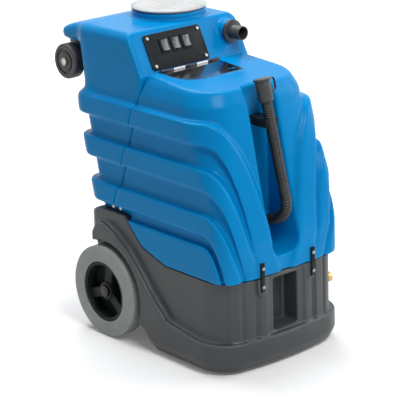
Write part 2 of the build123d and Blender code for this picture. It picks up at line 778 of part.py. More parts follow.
save(switch_bezels.part, "switch_bezels")

ROCKER_HALF_WIDE = SWITCH_WIDE / 2 - SWITCH_RIM - 0.5
ROCKER_HALF_TALL = SWITCH_TALL / 2 - SWITCH_RIM - 1.5
for rocker_index, rocker_name in enumerate(("left", "middle", "right")):
    rocker_x = (rocker_index - 1) * SWITCH_PITCH
    rocker_origin = PANEL_PLANE.from_local_coords((rocker_x - ROCKER_HALF_WIDE, SWITCH_UP, ROCKER_PIVOT))
    rocker_plane = Plane(origin=rocker_origin, x_dir=SLOPE_UP, z_dir=(1, 0, 0))
    pin_reach = SWITCH_RIM + 0.5
    with BuildPart() as rocker:
        with BuildSketch(rocker_plane):
            with BuildLine():
                Polyline(
                    (-ROCKER_HALF_TALL, 2 + SWITCH_PROUD + 2.5),
                    (-ROCKER_HALF_TALL, 0),
                    (-4, -3),
                    (4, -3),
                    (ROCKER_HALF_TALL, 0),
                    (ROCKER_HALF_TALL, 2 + SWITCH_PROUD + 2.5),
                    (0, 2 + SWITCH_PROUD),
                    close=True,
                )
            make_face()
        extrude(amount=2 * ROCKER_HALF_WIDE)
        with BuildSketch(rocker_plane.offset(-pin_reach)):
            Circle(ROCKER_PIN_R)
        extrude(amount=2 * ROCKER_HALF_WIDE + 2 * pin_reach)
    save(rocker.part, f"rocker_{rocker_name}")

# Fill lid on a knuckle hinge at the panel's foot
TOP_NORM = sqrt(1 + TOP_SLOPE**2)
FILL_PLANE = Plane(
    origin=(0, HINGE_Y, top_z(HINGE_Y)), x_dir=(1, 0, 0), z_dir=(0, -TOP_SLOPE / TOP_NORM, 1 / TOP_NORM)
)
HINGE_UP = HINGE_KNUCKLE_R + SEAT_GAP
KNUCKLES = 5
KNUCKLE_LONG = (FILL_RIGHT - FILL_LEFT) / KNUCKLES
LEAF_LONG = 13.0
HINGE_CLEAR = 1.0


def knuckles(moving):
    """Knuckles of one hinge leaf, with the tabs that join them to their plate."""
    first = 1 if moving else 0
    reach = -HINGE_KNUCKLE_R - 2 if moving else HINGE_KNUCKLE_R + 2
    with BuildPart() as leaf:
        for index in range(first, KNUCKLES, 2):
            start = FILL_LEFT + index * KNUCKLE_LONG + HINGE_CLEAR / 2
            base = FILL_PLANE.from_local_coords((start, 0, HINGE_UP))
            across = Plane(origin=base, x_dir=FILL_PLANE.y_dir, z_dir=(1, 0, 0))
            with BuildSketch(across):
                Circle(HINGE_KNUCKLE_R)
                with Locations((reach / 2, -HINGE_UP + SEAT_GAP + FILL_THICK / 2)):
                    Rectangle(abs(reach), FILL_THICK)
                Circle(HINGE_PIN_R + RUN_FIT, mode=Mode.SUBTRACT)
            extrude(amount=KNUCKLE_LONG - HINGE_CLEAR)
    return leaf.part


with BuildPart() as fill_lid:
    with BuildSketch(FILL_PLANE.offset(SEAT_GAP)) as fill_outline:
        with BuildLine():
            Polyline(
                (FILL_LEFT, -HINGE_KNUCKLE_R - HINGE_CLEAR),
                (FILL_LEFT, -FILL_LONG),
                (FILL_RIGHT, -FILL_LONG),
                (FILL_RIGHT, -HINGE_KNUCKLE_R - HINGE_CLEAR),
                close=True,
            )
        make_face()
        front_corners = fill_outline.vertices().group_by(Axis.Y)[0].sort_by(Axis.X)
        fillet(front_corners[0], FILL_CORNER)
        fillet(front_corners[1], 5)
        with Locations((FILL_RIGHT - 24, -FILL_LONG + 18)):
            SlotOverall(30, 9, mode=Mode.SUBTRACT)
    extrude(amount=FILL_THICK)
    add(knuckles(True))
save(fill_lid.part, "fill_lid")

with BuildPart() as fill_hinge:
    with BuildSketch(FILL_PLANE):
        with Locations(((FILL_LEFT + FILL_RIGHT) / 2, (HINGE_KNUCKLE_R + HINGE_CLEAR + LEAF_LONG) / 2)):
            Rectangle(FILL_RIGHT - FILL_LEFT, LEAF_LONG - HINGE_KNUCKLE_R - HINGE_CLEAR)
    extrude(amount=FILL_THICK + SEAT_GAP)
    add(knuckles(False))
save(fill_hinge.part, "fill_hinge")

pin_start = FILL_PLANE.from_local_coords((FILL_LEFT, 0, HINGE_UP))
save(rod(pin_start, (1, 0, 0), HINGE_PIN_R, FILL_RIGHT - FILL_LEFT), "hinge_pin")

# Vacuum inlet: flanged barb on the boss
with BuildPart() as vacuum_inlet:
    with BuildSketch(Plane(origin=(INLET_X, INLET_BOSS_Y, INLET_Z), x_dir=(1, 0, 0), z_dir=(0, -1, 0))):
        Circle(INLET_FLANGE_R)
    extrude(amount=8)
    with BuildSketch(Plane(origin=(INLET_X, INLET_BOSS_Y, INLET_Z), x_dir=(1, 0, 0), z_dir=(0, -1, 0))):
        Circle(INLET_R)
    extrude(amount=INLET_BOSS_Y - INLET_TIP_Y)
    with BuildSketch(Plane(origin=(INLET_X, INLET_BOSS_Y + 1, INLET_Z), x_dir=(1, 0, 0), z_dir=(0, -1, 0))):
        Circle(INLET_BORE)
    extrude(amount=INLET_BOSS_Y - INLET_TIP_Y + 2, mode=Mode.SUBTRACT)
save(vacuum_inlet.part, "vacuum_inlet")

# Drain hose: ribbed tube down the channel, bending back to its spigot
HOSE_TOP = Vector(0, front_y(HOSE_TOP_Z) - HOSE_OUT, HOSE_TOP_Z)
HOSE_LOW = Vector(HOSE_SWAY, front_y(HOSE_LOW_Z) - HOSE_OUT, HOSE_LOW_Z)
HOSE_RUN = (HOSE_LOW - HOSE_TOP).length
HOSE_ARC = HOSE_BEND_R * radians(HOSE_BEND_DEG)
HOSE_TAIL = 2 * HOSE_R
HOSE_LONG = HOSE_RUN + HOSE_ARC + HOSE_TAIL
HOSE_DOWN = (HOSE_LOW - HOSE_TOP).normalized()
HOSE_BACK = (Vector(0, 1, 0) - HOSE_DOWN * HOSE_DOWN.Y).normalized()


def hose_plane(along):
    """Plane square to the hose at a length from its top end, with a steady X axis."""
    run = min(along, HOSE_RUN)
    turn = min(max(along - HOSE_RUN, 0), HOSE_ARC) / HOSE_BEND_R
    tail = max(along - HOSE_RUN - HOSE_ARC, 0)
    aim = HOSE_DOWN * cos(turn) + HOSE_BACK * sin(turn)
    bend = HOSE_DOWN * sin(turn) + HOSE_BACK * (1 - cos(turn))
    origin = HOSE_TOP + HOSE_DOWN * run + bend * HOSE_BEND_R + aim * tail
    return Plane(origin=origin, x_dir=HOSE_DOWN.cross(HOSE_BACK), z_dir=aim)


def ring_at(along, radius):
    """Circle round the hose's line at a length from its top end."""
    with BuildSketch(hose_plane(along)) as ring:
        Circle(radius)
    return ring.sketch


RIBS = int((HOSE_LONG - 2) / HOSE_PITCH)
rib_step = (HOSE_LONG - 2) / RIBS
hose_rings = [ring_at(0, HOSE_VALLEY_R)]
for rib in range(RIBS):
    rib_start = 1 + rib * rib_step
    hose_rings.append(ring_at(rib_start + 0.15 * rib_step, HOSE_VALLEY_R))
    hose_rings.append(ring_at(rib_start + 0.30 * rib_step, HOSE_R))
    hose_rings.append(ring_at(rib_start + 0.70 * rib_step, HOSE_R))
    hose_rings.append(ring_at(rib_start + 0.85 * rib_step, HOSE_VALLEY_R))
hose_rings.append(ring_at(HOSE_LONG, HOSE_VALLEY_R))
BORE_STEPS = 60
bore_rings = [ring_at(HOSE_LONG * step / BORE_STEPS, HOSE_BORE_R) for step in range(BORE_STEPS + 1)]
with BuildPart() as hose_bore:
    loft(bore_rings, ruled=True)
with BuildPart() as drain_hose:
    loft(hose_rings, ruled=True)
    add(hose_bore.part, mode=Mode.SUBTRACT)
save(drain_hose.part, "drain_hose")

# Cuff on the hose's top end, its plug and the tether between them
CUFF_LAP = 14.0
CUFF_BORE = 10.0
HOSE_TOP_PLANE = hose_plane(0)
CUFF_FOOT = HOSE_TOP_PLANE.offset(CUFF_LAP)
CUFF_HEAD = HOSE_TOP_PLANE.offset(CUFF_LAP - CUFF_TALL)
with BuildPart() as hose_cuff:
    with BuildSketch(CUFF_FOOT):
        Circle(CUFF_R)
    extrude(amount=-CUFF_TALL)
    with BuildSketch(CUFF_FOOT):
        Circle(HOSE_R + SEAT_GAP)
    extrude(amount=-CUFF_LAP - SEAT_GAP, mode=Mode.SUBTRACT)
    with BuildSketch(CUFF_FOOT):
        Circle(CUFF_BORE)
    extrude(amount=-CUFF_TALL, mode=Mode.SUBTRACT)
save(hose_cuff.part, "hose_cuff")

PLUG_STEM = 22.0
with BuildPart() as drain_plug:
    with BuildSketch(CUFF_HEAD.offset(-SEAT_GAP)):
        Circle(PLUG_R)
    extrude(amount=-PLUG_TALL)
    with BuildSketch(CUFF_HEAD.offset(-SEAT_GAP)):
        Circle(CUFF_BORE - RUN_FIT)
    extrude(amount=PLUG_STEM)
save(drain_plug.part, "drain_plug")

TETHER_WIDE = 6.0
TETHER_THICK = 2.0
TETHER_OUT = 16.0
tether_plane = Plane(
    origin=CUFF_HEAD.from_local_coords((0, 0, -SEAT_GAP)), x_dir=CUFF_HEAD.x_dir, z_dir=CUFF_HEAD.y_dir
)
tether_sign = 1 if tether_plane.y_dir.Z > 0 else -1
plug_mid = tether_sign * PLUG_TALL / 2
tether_low = -tether_sign * (CUFF_TALL - CUFF_LAP - 6)
with BuildPart() as plug_tether:
    with BuildLine(tether_plane):
        FilletPolyline(
            (PLUG_R + SEAT_GAP, plug_mid),
            (PLUG_R + TETHER_OUT, plug_mid),
            (PLUG_R + TETHER_OUT, tether_low),
            (CUFF_R + SEAT_GAP, tether_low),
            radius=9,
        )
    tether_start = tether_plane.from_local_coords((PLUG_R + SEAT_GAP, plug_mid))
    with BuildSketch(Plane(origin=tether_start, x_dir=tether_plane.y_dir, z_dir=tether_plane.x_dir)):
        Rectangle(TETHER_THICK, TETHER_WIDE)
    sweep()
save(plug_tether.part, "plug_tether")

# Clip that holds the hose in the channel
CLIP_DROP = 68.0
CLIP_Z = HOSE_TOP_Z - CLIP_DROP
CLIP_TALL = 22.0
CLIP_HALF = 20.0
clip_hose = HOSE_TOP + HOSE_DOWN * ((CLIP_Z - HOSE_TOP_Z) / HOSE_DOWN.Z)
with BuildPart() as hose_clip:
    add(
        block(
            (clip_hose.X - CLIP_HALF, clip_hose.X + CLIP_HALF),
            (clip_hose.Y - 6, CHANNEL_FLOOR_Y),
            (CLIP_Z - CLIP_TALL / 2, CLIP_Z + CLIP_TALL / 2),
        )
    )
    with BuildSketch(hose_plane(0)):
        Circle(HOSE_R + SEAT_GAP)
    extrude(amount=HOSE_RUN, mode=Mode.SUBTRACT)
save(hose_clip.part, "hose_clip")

# Spigot that the hose's lower end is pushed on
SPIGOT_LAP = 20.0
SPIGOT_FLANGE_R = 20.0
SPIGOT_FLANGE = 5.0
HOSE_END = hose_plane(HOSE_LONG)
spigot_reach = (CHANNEL_FLOOR_Y - HOSE_END.origin.Y) / HOSE_END.z_dir.Y
spigot_foot = HOSE_END.offset(spigot_reach).origin
with BuildPart() as drain_spigot:
    with BuildSketch(HOSE_END.offset(-SPIGOT_LAP)):
        Circle(HOSE_BORE_R - SEAT_GAP)
    extrude(amount=SPIGOT_LAP + spigot_reach + HOSE_R)
    with BuildSketch(HOSE_END.offset(SEAT_GAP)):
        Circle(HOSE_VALLEY_R)
    extrude(amount=spigot_reach + HOSE_R)
    add(block((-FAR, FAR), (CHANNEL_FLOOR_Y, FAR), (0, TANK_TOP)), mode=Mode.SUBTRACT)
    add(rod(spigot_foot, (0, -1, 0), SPIGOT_FLANGE_R, SPIGOT_FLANGE))
    with BuildSketch(HOSE_END.offset(-SPIGOT_LAP)):
        Circle(HOSE_BORE_R - 2.5)
    extrude(amount=SPIGOT_LAP + spigot_reach + 2 * HOSE_R, mode=Mode.SUBTRACT)
save(drain_spigot.part, "drain_spigot")

# Brass solution coupler with its sliding sleeve
COUPLER_INWARD = 17.0
COUPLER_OUTWARD = 43.0
COUPLER_INNER_X = BODY_HALF - COUPLER_INWARD
COUPLER_TIP_X = BODY_HALF + COUPLER_OUTWARD
SLEEVE_R = 14.0
SLEEVE_LONG = 15.0
COUPLER_LONG = COUPLER_TIP_X - COUPLER_INNER_X
SLEEVE_X = COUPLER_TIP_X - 3 - SLEEVE_LONG
coupler_start = (COUPLER_INNER_X, COUPLER_Y, COUPLER_Z)
coupler_body = tube(coupler_start, (1, 0, 0), COUPLER_R, COUPLER_BORE, COUPLER_LONG)
save(coupler_body, "coupler_body")
sleeve_start = (SLEEVE_X, COUPLER_Y, COUPLER_Z)
coupler_sleeve = tube(sleeve_start, (1, 0, 0), SLEEVE_R, COUPLER_R + RUN_FIT, SLEEVE_LONG)
save(coupler_sleeve, "coupler_sleeve")

# Rear wheels on one fixed axle
HUB_WIDE = 40.0
BOSS_R = 25.0
BOSS_OUT = 226.0
BOSS_IN = 188.0
RIM_THICK = 10.0
SPOKE_WIDE = 27.0
SPOKE_THICK = 18.0
CAP_R = 15.0
TREAD_GROOVE = 3.0
wheel_mid = WHEEL_OUTER_X - WHEEL_WIDE / 2
WHEEL_AXIS = Axis((0, AXLE_Y, WHEEL_Z), (1, 0, 0))
WHEEL_SECTION = Plane(origin=(0, AXLE_Y, WHEEL_Z), x_dir=(1, 0, 0), z_dir=(0, -1, 0))
for side, word in ((-1, "left"), (1, "right")):
    with BuildPart() as tyre:
        with BuildSketch(WHEEL_SECTION) as tyre_section:
            with Locations((side * wheel_mid, (RIM_R + WHEEL_R) / 2)):
                Rectangle(WHEEL_WIDE, WHEEL_R - RIM_R)
            fillet(tyre_section.vertices().group_by(Axis.Y)[-1], 10)
            with Locations((side * wheel_mid, WHEEL_R)):
                with GridLocations(9, 1, 3, 1):
                    Rectangle(3, 2 * TREAD_GROOVE, mode=Mode.SUBTRACT)
        revolve(axis=WHEEL_AXIS)
    save(tyre.part, f"tyre_{word}")
    with BuildPart() as hub:
        with BuildSketch(WHEEL_SECTION):
            with Locations((side * wheel_mid, RIM_R - RIM_THICK / 2)):
                Rectangle(HUB_WIDE, RIM_THICK)
            with Locations((side * (BOSS_OUT + BOSS_IN) / 2, (BOSS_R + AXLE_R + RUN_FIT) / 2)):
                Rectangle(BOSS_OUT - BOSS_IN, BOSS_R - AXLE_R - RUN_FIT)
        revolve(axis=WHEEL_AXIS)
        spoke_plane = Plane(
            origin=(side * wheel_mid - SPOKE_THICK / 2, AXLE_Y, WHEEL_Z), x_dir=(0, 1, 0), z_dir=(1, 0, 0)
        )
        with BuildSketch(spoke_plane):
            with PolarLocations((BOSS_R + RIM_R - RIM_THICK) / 2, 3, start_angle=100):
                Rectangle(RIM_R - RIM_THICK - BOSS_R + 8, SPOKE_WIDE)
        extrude(amount=SPOKE_THICK)
    save(hub.part, f"hub_{word}")

AXLE_END = BOSS_OUT + 7
save(rod((-AXLE_END, AXLE_Y, WHEEL_Z), (1, 0, 0), AXLE_R, 2 * AXLE_END), "rear_axle")
with BuildPart() as axle_caps:
    for side in (-1, 1):
        add(tube((side * (BOSS_OUT + SEAT_GAP), AXLE_Y, WHEEL_Z), (side, 0, 0), CAP_R, AXLE_R, 6))
save(axle_caps.part, "axle_caps")

# Loading wheels on a rod held by two brackets under the overhang
BRACKET_X = 140.0
BRACKET_THICK = 6.0
load_inner = LOAD_OUTER_X - LOAD_WIDE
LOAD_AXIS = Axis((0, LOAD_Y, LOAD_Z), (1, 0, 0))
LOAD_SECTION = Plane(origin=(0, LOAD_Y, LOAD_Z), x_dir=(1, 0, 0), z_dir=(0, -1, 0))
for side, word in ((-1, "left"), (1, "right")):
    with BuildPart() as load_wheel:
        with BuildSketch(LOAD_SECTION) as load_section:
            with Locations((side * (load_inner + LOAD_WIDE / 2), (LOAD_AXLE_R + RUN_FIT + LOAD_R) / 2)):
                Rectangle(LOAD_WIDE, LOAD_R - LOAD_AXLE_R - RUN_FIT)
            fillet(load_section.vertices().group_by(Axis.Y)[-1], 6)
            with Locations((side * LOAD_OUTER_X, LOAD_R * 0.64)):
                Rectangle(8, 7, mode=Mode.SUBTRACT)
        revolve(axis=LOAD_AXIS)
    save(load_wheel.part, f"loading_wheel_{word}")

LOAD_AXLE_END = LOAD_OUTER_X + 3
save(rod((-LOAD_AXLE_END, LOAD_Y, LOAD_Z), (1, 0, 0), LOAD_AXLE_R, 2 * LOAD_AXLE_END), "loading_axle")
with BuildPart() as loading_caps:
    for side in (-1, 1):
        add(tube((side * (LOAD_OUTER_X + SEAT_GAP), LOAD_Y, LOAD_Z), (side, 0, 0), 11, LOAD_AXLE_R, 4))
save(loading_caps.part, "loading_caps")
with BuildPart() as loading_brackets:
    for side in (-1, 1):
        bracket_start = side * BRACKET_X - BRACKET_THICK / 2
        with BuildSketch(Plane(origin=(bracket_start, 0, 0), x_dir=(0, 1, 0), z_dir=(1, 0, 0))):
            with BuildLine():
                Polyline(
                    (LOAD_Y - 30, OVERHANG_BOTTOM),
                    (LOAD_Y + 28, OVERHANG_BOTTOM),
                    (LOAD_Y + 16, LOAD_Z - 16),
                    (LOAD_Y - 16, LOAD_Z - 16),
                    close=True,
                )
            make_face()
            with Locations((LOAD_Y, LOAD_Z)):
                Circle(LOAD_AXLE_R + SEAT_GAP, mode=Mode.SUBTRACT)
        extrude(amount=BRACKET_THICK)
        inner_edge = side * (BRACKET_X - BRACKET_THICK / 2)
        foot = sorted((inner_edge, inner_edge - side * 24))
        add(block(foot, (LOAD_Y - 30, LOAD_Y + 28), (OVERHANG_BOTTOM - 5, OVERHANG_BOTTOM)))
save(loading_brackets.part, "loading_brackets")

# Tank straps across the seam at the front, and screws
with BuildPart() as tank_straps:
    for side in (-1, 1):
        add(
            block(
                (side * STRAP_X - STRAP_WIDE / 2, side * STRAP_X + STRAP_WIDE / 2),
                (STRAP_SEAT_Y - STRAP_THICK, STRAP_SEAT_Y),
                (STRAP_BOTTOM, STRAP_TOP),
            )
        )
save(tank_straps.part, "tank_straps")
with BuildPart() as strap_screws:
    for side in (-1, 1):
        for screw_z in (STRAP_BOTTOM + 14, STRAP_TOP - 14):
            add(rod((side * STRAP_X, STRAP_SEAT_Y - STRAP_THICK, screw_z), (0, -1, 0), SCREW_R, SCREW_HEAD))
save(strap_screws.part, "strap_screws")
SIDE_SCREW_Z = BASE_TOP + 2 * SCREW_R
with BuildPart() as tank_screws:
    for side in (-1, 1):
        for screw_y in (seam_y(SIDE_SCREW_Z) - 15, seam_y(SIDE_SCREW_Z) + 15):
            add(rod((side * BODY_HALF, screw_y, SIDE_SCREW_Z), (side, 0, 0), SCREW_R, SCREW_HEAD))
save(tank_screws.part, "tank_screws")

# Front swivel casters under the chassis plate
CASTER_PLATE_TOP = FLOOR_TOP - FLOOR_THICK
CASTER_PLATE_THICK = 4.0
CASTER_PLATE_HALF = 24.0
FORK_TOP = CASTER_PLATE_TOP - CASTER_PLATE_THICK - SEAT_GAP
FORK_THICK = 4.0
CHEEK_THICK = 3.0
CHEEK_GAP = 0.5
with BuildPart() as caster_plates:
    with BuildSketch(Plane.XY.offset(CASTER_PLATE_TOP - CASTER_PLATE_THICK)):
        with Locations((CASTER_X, CASTER_Y), (-CASTER_X, CASTER_Y)):
            Rectangle(2 * CASTER_PLATE_HALF, 2 * CASTER_PLATE_HALF)
            Circle(CASTER_STEM_R + RUN_FIT, mode=Mode.SUBTRACT)
    extrude(amount=CASTER_PLATE_THICK)
save(caster_plates.part, "caster_plates")
for side, word in ((-1, "left"), (1, "right")):
    stem_x = side * CASTER_X
    wheel_y = CASTER_Y + CASTER_TRAIL
    cheek_in = CASTER_WIDE / 2 + CHEEK_GAP
    fork_wide = 2 * (cheek_in + CHEEK_THICK)
    pin_hole = rod((stem_x - FAR / 2, wheel_y, CASTER_R), (1, 0, 0), CASTER_PIN_R + RUN_FIT, FAR)
    with BuildPart() as fork:
        with BuildSketch(Plane.XY.offset(FORK_TOP - FORK_THICK)):
            with Locations((stem_x, CASTER_Y + CASTER_TRAIL / 2)):
                SlotOverall(fork_wide + CASTER_TRAIL, fork_wide, rotation=90)
        extrude(amount=FORK_THICK)
        with BuildSketch(Plane.XY.offset(FORK_TOP)):
            with Locations((stem_x, CASTER_Y)):
                Circle(CASTER_STEM_R)
        extrude(amount=CASTER_PLATE_THICK + SEAT_GAP)
        for cheek in (-1, 1):
            cheek_x = sorted((stem_x + cheek * cheek_in, stem_x + cheek * (cheek_in + CHEEK_THICK)))
            add(block(cheek_x, (wheel_y - 9, wheel_y + 9), (CASTER_R - 8, FORK_TOP - FORK_THICK)))
        add(pin_hole, mode=Mode.SUBTRACT)
    save(fork.part, f"caster_fork_{word}")
    caster_pin = rod((stem_x - fork_wide / 2, wheel_y, CASTER_R), (1, 0, 0), CASTER_PIN_R, fork_wide)
    save(caster_pin, f"caster_pin_{word}")
    save(
        tube(
            (stem_x - CASTER_WIDE / 2, wheel_y, CASTER_R),
            (1, 0, 0),
            CASTER_R,
            CASTER_PIN_R + RUN_FIT,
            CASTER_WIDE,
        ),
        f"caster_wheel_{word}",
    )

# Two vacuum motors on the chassis plate
MOTOR_WALL = 5.0
for side, word in ((-1, "left"), (1, "right")):
    motor_x = side * MOTOR_X
    motor_top = FLOOR_TOP + MOTOR_TALL
    inside = (motor_x, MOTOR_Y, FLOOR_TOP + MOTOR_WALL)
    shaft_foot = (motor_x, MOTOR_Y, FLOOR_TOP + MOTOR_WALL + SEAT_GAP)
    with BuildPart() as motor:
        add(rod((motor_x, MOTOR_Y, FLOOR_TOP), (0, 0, 1), MOTOR_R, MOTOR_TALL))
        add(rod(inside, (0, 0, 1), MOTOR_R - MOTOR_WALL, MOTOR_TALL - 2 * MOTOR_WALL), mode=Mode.SUBTRACT)
        add(rod(inside, (0, 0, 1), SHAFT_R + RUN_FIT, MOTOR_TALL), mode=Mode.SUBTRACT)
    save(motor.part, f"vacuum_motor_{word}")
    with BuildPart() as rotor:
        add(rod(shaft_foot, (0, 0, 1), SHAFT_R, MOTOR_TALL - MOTOR_WALL))
        add(rod((motor_x, MOTOR_Y, FLOOR_TOP + 16), (0, 0, 1), MOTOR_R * 0.5, MOTOR_TALL * 0.42))
        add(rod((motor_x, MOTOR_Y, motor_top - 34), (0, 0, 1), MOTOR_R - MOTOR_WALL - 4, 14))
    save(rotor.part, f"vacuum_rotor_{word}")

# Solution pump, its shaft with cooling fan, and the heater
PUMP_SHAFT_Z = FLOOR_TOP + PUMP_TALL / 2
FAN_R = 28.0
with BuildPart() as pump_body:
    add(
        block(
            (PUMP_X - PUMP_WIDE / 2, PUMP_X + PUMP_WIDE / 2),
            (PUMP_Y - PUMP_LONG / 2, PUMP_Y + PUMP_LONG / 2),
            (FLOOR_TOP, FLOOR_TOP + PUMP_TALL),
        )
    )
    add(rod((-FAR, PUMP_Y, PUMP_SHAFT_Z), (1, 0, 0), SHAFT_R + RUN_FIT, 2 * FAR), mode=Mode.SUBTRACT)
save(pump_body.part, "pump_body")
with BuildPart() as pump_shaft:
    add(rod((PUMP_X - PUMP_WIDE / 2, PUMP_Y, PUMP_SHAFT_Z), (1, 0, 0), SHAFT_R, PUMP_WIDE + 12))
    add(rod((PUMP_X + PUMP_WIDE / 2 + 4, PUMP_Y, PUMP_SHAFT_Z), (1, 0, 0), FAN_R, 8))
save(pump_shaft.part, "pump_shaft")
save(
    block(
        (HEATER_X - HEATER_WIDE / 2, HEATER_X + HEATER_WIDE / 2),
        (PUMP_Y - PUMP_LONG / 2, PUMP_Y + PUMP_LONG / 2),
        (FLOOR_TOP, FLOOR_TOP + HEATER_TALL),
    ),
    "heater_box",
)

# Standpipe with float cage and ball inside the recovery tank
CAGE_WALL = 3.0
CAGE_FLOOR = 4.0
save(tube((0, PIPE_Y, BASE_TOP), (0, 0, 1), PIPE_R, PIPE_BORE, PIPE_TOP - BASE_TOP), "standpipe")
with BuildPart() as float_cage:
    add(tube((0, PIPE_Y, PIPE_TOP), (0, 0, 1), CAGE_R, CAGE_R - CAGE_WALL, CAGE_TALL))
    add(tube((0, PIPE_Y, PIPE_TOP), (0, 0, 1), CAGE_R, PIPE_BORE, CAGE_FLOOR))
    add(tube((0, PIPE_Y, PIPE_TOP + CAGE_TALL - CAGE_FLOOR), (0, 0, 1), CAGE_R, PIPE_BORE - 8, CAGE_FLOOR))
    for window_angle in (0, 90):
        with BuildSketch(Plane.XY.offset(PIPE_TOP + 3 * CAGE_FLOOR)):
            with Locations((0, PIPE_Y)):
                Rectangle(4 * CAGE_R, CAGE_R, rotation=window_angle)
        extrude(amount=CAGE_TALL - 6 * CAGE_FLOOR, mode=Mode.SUBTRACT)
save(float_cage.part, "float_cage")
ball_drop = sqrt(BALL_R**2 - PIPE_BORE**2)
with BuildPart() as float_ball:
    with Locations((0, PIPE_Y, PIPE_TOP + CAGE_FLOOR + ball_drop + SEAT_GAP)):
        Sphere(BALL_R)
save(float_ball.part, "float_ball")

# Power inlet on the rear of the base
INLET_PLATE = 4.0
POWER_Z = 270.0
with BuildPart() as power_inlet:
    add(block((-26, 26), (BASE_REAR, BASE_REAR + INLET_PLATE), (POWER_Z - 20, POWER_Z + 20)))
    add(rod((0, BASE_REAR, POWER_Z), (0, 1, 0), 15, 16))
    add(rod((0, BASE_REAR + INLET_PLATE, POWER_Z), (0, 1, 0), 12, 20), mode=Mode.SUBTRACT)
save(power_inlet.part, "power_inlet")
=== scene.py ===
"""Looks of the portable carpet extractor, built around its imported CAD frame."""
import json
import math

import bmesh
import bpy
import numpy as np
from mathutils import Matrix, Vector


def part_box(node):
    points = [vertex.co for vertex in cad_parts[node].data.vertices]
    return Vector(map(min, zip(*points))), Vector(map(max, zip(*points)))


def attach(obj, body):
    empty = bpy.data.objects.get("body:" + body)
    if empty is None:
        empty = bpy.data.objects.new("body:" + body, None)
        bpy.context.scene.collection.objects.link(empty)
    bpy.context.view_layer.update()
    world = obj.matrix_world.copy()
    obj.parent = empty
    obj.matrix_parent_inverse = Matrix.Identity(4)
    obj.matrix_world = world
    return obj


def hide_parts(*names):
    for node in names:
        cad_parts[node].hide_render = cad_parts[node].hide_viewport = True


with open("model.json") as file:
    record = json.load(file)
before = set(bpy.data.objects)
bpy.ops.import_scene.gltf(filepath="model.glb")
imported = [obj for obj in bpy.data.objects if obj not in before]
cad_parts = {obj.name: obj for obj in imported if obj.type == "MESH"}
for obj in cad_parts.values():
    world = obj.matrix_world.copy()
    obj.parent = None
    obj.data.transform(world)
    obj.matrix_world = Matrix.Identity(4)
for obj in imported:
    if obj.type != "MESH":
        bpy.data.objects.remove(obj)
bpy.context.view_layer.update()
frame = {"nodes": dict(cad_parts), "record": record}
nodes = frame["nodes"]
scene = bpy.context.scene
scene.view_settings.view_transform = "Standard"

# Camera of the photograph
CAMERA_PLACE = (-3.06076, -3.63395, 1.91057)
CAMERA_AZIMUTH = math.radians(40.21)
CAMERA_PITCH = math.radians(18.08)
CAMERA_ROLL = math.radians(-1.85)
CAMERA_LENS = 167.52
CAMERA_SENSOR = 36.0
CAMERA_REACH = 50.0

# Studio: light of the world, the floor's half width, and its glow near to and far from the object
WORLD_LIGHT = 0.20
FLOOR_HALF = 12
GLOW_AWAY = (0.5, 3.2)
GLOW_POWER = (0.10, 0.75)

# Lamps: place, width and power
LAMPS = {"key": ((-0.5, -2.4, 3.0), 1.4, 66),
         "fill": ((2.5, -1.5, 1.7), 2.0, 36),
         "top": ((0.2, 0.9, 3.0), 1.8, 72)}
LAMP_AIM = (0, 0, 0.45)

# Noise of the materials: detail of the blotches and the grain, the part of its range in use, and the relief
BLOTCH_DETAIL = 4.0
GRAIN_DETAIL = 3.0
NOISE_SPAN = (0.3, 0.7)
RELIEF_DEEP = 0.001

# Painted highlight on sharp edges: the pointiness from which it shows and at which it is full, and its share
# then
EDGE_SPAN = (0.505, 0.56)
EDGE_SHARE = 0.55

# Remeshed shells: voxel, rounds of softening, each round's step, rounds that all points share, and faces kept
VOXEL = 0.003
POINT_NEAR = 1e-6
TANK_ROUNDS = 16
FLARE_ROUNDS = 120
BASE_ROUNDS = 9
SMOOTH_STEP = 0.5
FIRST_ROUNDS = 4
KEEP_SHARE = 0.5

# Seam between the tanks: depth at the base's top, and how far it leans per height
SEAM_FOOT_Y = 0.109
SEAM_LEAN = 0.3275
SEAM_FOOT_Z = 0.350

# Stepped top of the base, from its front to its rear
BASE_STEP_Y = (-0.106, -0.009, 0.060)
BASE_STEP_Z = (0.250, 0.280, 0.350)

# Softening left at a seam, as a share of the usual, and the distances over which it comes back
SEAM_ROLL = 0.8
ROLL_NEAR = 0.004
TANK_ROLL_FAR = 0.03
BASE_ROLL_FAR = 0.025

# What isn't softened, each with the distances over which softening comes back: the recovery lid's collar, the
# vacuum inlet, the fill mouth, and the base's foot, axle hole and coupler hole. FAR_OFF is added to the
# distance on the tank's back and on the base's left, which have no inlet and no coupler.
COLLAR_TALL = 0.020
COLLAR_DROP = 0.002
COLLAR_FADE = (0.106, 0.122)
HEAD_FADE = (0.0, 0.02)
INLET_FADE = (0.034, 0.055)
INLET_BACK_Y = 0.12
MOUTH_MARGIN = 0.022
MOUTH_LOW_Z = 0.70
MOUTH_FADE = (0.004, 0.02)
FOOT_FADE = (0.010, 0.03)
AXLE_FADE = (0.012, 0.03)
COUPLER_FADE = (0.016, 0.03)
FAR_OFF = 0.2

# Where the rear tank flares out over the loading wheels, and how far the extra softening takes to come in
FLARE_Y = 0.16
FLARE_Z = 0.60
FLARE_IN_Y = 0.05
FLARE_IN_Z = 0.06

# Rounded edges of the small CAD nodes
SMALL_EDGE = 0.0008
EDGE_STEPS = 2
EDGE_ANGLE = math.radians(40)
WELD_NEAR = 1e-5
EDGED_NODES = (
    "control_panel", "switch_bezels", "rocker_left", "rocker_middle", "rocker_right", "panel_screws",
    "tank_screws", "strap_screws", "tank_straps", "hose_cuff", "drain_plug", "vacuum_inlet", "hose_clip",
    "recovery_lid", "axle_caps", "loading_caps", "coupler_body", "coupler_sleeve", "hub_left", "hub_right",
    "loading_wheel_left", "loading_wheel_right", "fill_hinge", "power_inlet", "loading_brackets")

